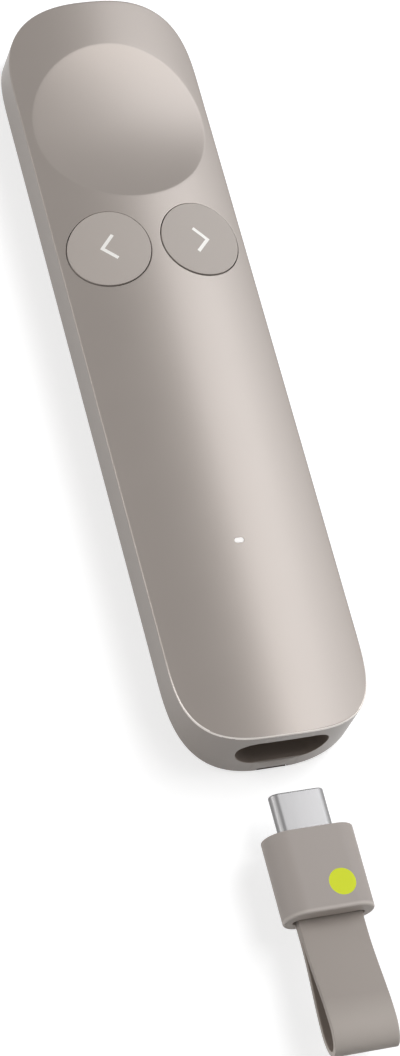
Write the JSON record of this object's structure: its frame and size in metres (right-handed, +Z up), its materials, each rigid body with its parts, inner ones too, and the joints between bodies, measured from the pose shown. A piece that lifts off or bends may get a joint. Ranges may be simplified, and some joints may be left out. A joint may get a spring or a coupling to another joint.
{
  "type": "presentation clicker",
  "caption": "Slim wireless presentation clicker with a dished touch pad, left and right press keys, a status light, and a plug-in receiver on a strap that docks in its end.",
  "frame": {"origin": "middle of the flat land on the back, under the middle of the body", "axes": "+Z up through the keys, +Y along the body to the thumb-dish end, +X to the right key"},
  "size_m": [0.0296, 0.1699, 0.0129],
  "materials": {
    "shell": "fine satin, warm light grey",
    "mark": "smooth, warm white",
    "light": "clear to milky",
    "lamp": "milky",
    "circuit_board": "green solder mask",
    "chip": "black epoxy",
    "antenna": "ceramic",
    "copper": "foil",
    "dark_plastic": "matt black",
    "pale_plastic": "matt",
    "steel": "bright",
    "plug_metal": "satin nickel",
    "battery_foil": "matt foil",
    "strap": "matt, slightly soft",
    "accent": "smooth lime"
  },
  "bodies": {
    "body": {"main_shell": "shell", "back_cover": "shell", "inner_frame": "dark_plastic", "frame_screws": "steel", "main_board": "circuit_board", "processor_chip": "chip", "motion_sensor": "chip", "radio_antenna": "antenna", "pad_sensor": "copper", "haptic_motor": "steel", "battery": "battery_foil", "battery_connector": "pale_plastic", "dock_board": "circuit_board", "board_connector": "dark_plastic", "charger_chip": "chip", "charge_socket": "steel", "socket_tongue": "dark_plastic", "receiver_dock": "dark_plastic", "light_pipe": "light", "status_led": "lamp", "left_switch": "steel", "right_switch": "steel"},
    "left_key_cap": {"left_key": "shell", "left_key_mark": "mark"},
    "right_key_cap": {"right_key": "shell", "right_key_mark": "mark"},
    "left_switch_plunger": {"left_plunger": "dark_plastic"},
    "right_switch_plunger": {"right_plunger": "dark_plastic"},
    "receiver": {"receiver_housing": "shell", "receiver_nose": "shell", "plug_shell": "plug_metal", "plug_insert": "dark_plastic", "receiver_board": "circuit_board", "receiver_chip": "chip", "strap_pin": "steel", "strap": "strap", "accent_spot": "accent"}
  },
  "joints": [
    {"name": "left_key_press", "type": "slide", "parent": "body", "child": "left_key_cap", "axis": [0, 0, -1], "range_m": [0, 0.0003], "stiffness_N_per_m": 1500},
    {"name": "right_key_press", "type": "slide", "parent": "body", "child": "right_key_cap", "axis": [0, 0, -1], "range_m": [0, 0.0003], "stiffness_N_per_m": 1500},
    {"name": "left_plunger_press", "type": "slide", "parent": "body", "child": "left_switch_plunger", "axis": [0, 0, -1], "range_m": [0, 0.0003]},
    {"name": "right_plunger_press", "type": "slide", "parent": "body", "child": "right_switch_plunger", "axis": [0, 0, -1], "range_m": [0, 0.0003]},
    {"name": "receiver_slide", "type": "slide", "parent": "body", "child": "receiver", "axis": [0, 1, 0], "range_m": [0, 0.0262]}
  ],
  "couplings": [
    {"joint": "left_plunger_press", "follows": "left_key_press", "ratio": 1},
    {"joint": "right_plunger_press", "follows": "right_key_press", "ratio": 1}
  ]
}
